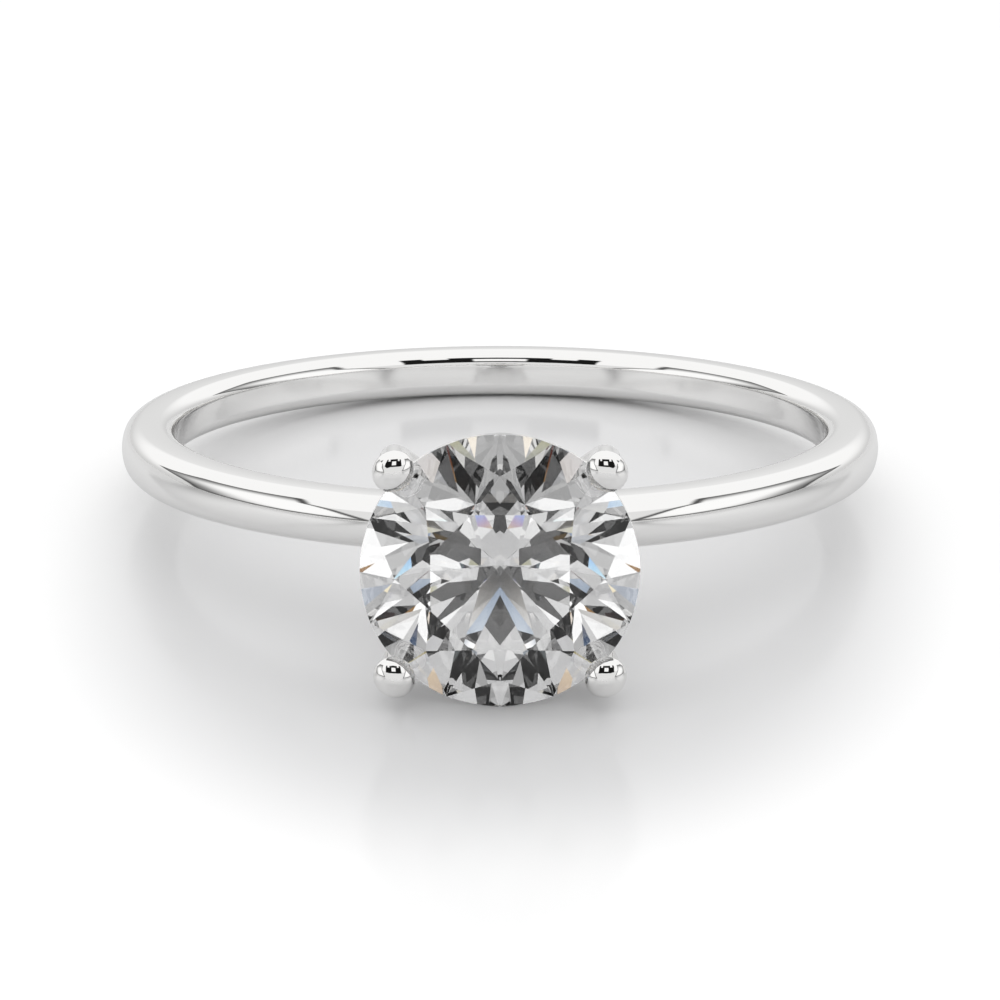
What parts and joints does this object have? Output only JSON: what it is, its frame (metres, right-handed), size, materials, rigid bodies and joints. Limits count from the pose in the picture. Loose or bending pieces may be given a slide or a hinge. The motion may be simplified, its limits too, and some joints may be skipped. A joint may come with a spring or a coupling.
{
  "type": "engagement ring",
  "caption": "Plain polished white-metal solitaire ring: a domed round band for a finger, a pegged head of leaning wire prongs with bead tips, and a round brilliant stone.",
  "frame": {"origin": "centre of the finger hole, halfway across the band", "axes": "+Z along the finger's axis; the stone faces -Y and the back of the band is on +Y"},
  "size_m": [0.0198, 0.0248, 0.0066],
  "materials": {
    "white_gold_band": "mirror polish",
    "white_gold_head": "mirror polish",
    "diamond": "polished facets, near colourless"
  },
  "bodies": {
    "root": {"shank": "white_gold_band", "diamond": "diamond", "prong_upper_left": "white_gold_head", "prong_upper_right": "white_gold_head", "prong_lower_left": "white_gold_head", "prong_lower_right": "white_gold_head", "gallery_rail": "white_gold_head", "base_collar": "white_gold_head", "head_peg": "white_gold_head"}
  },
  "joints": []
}
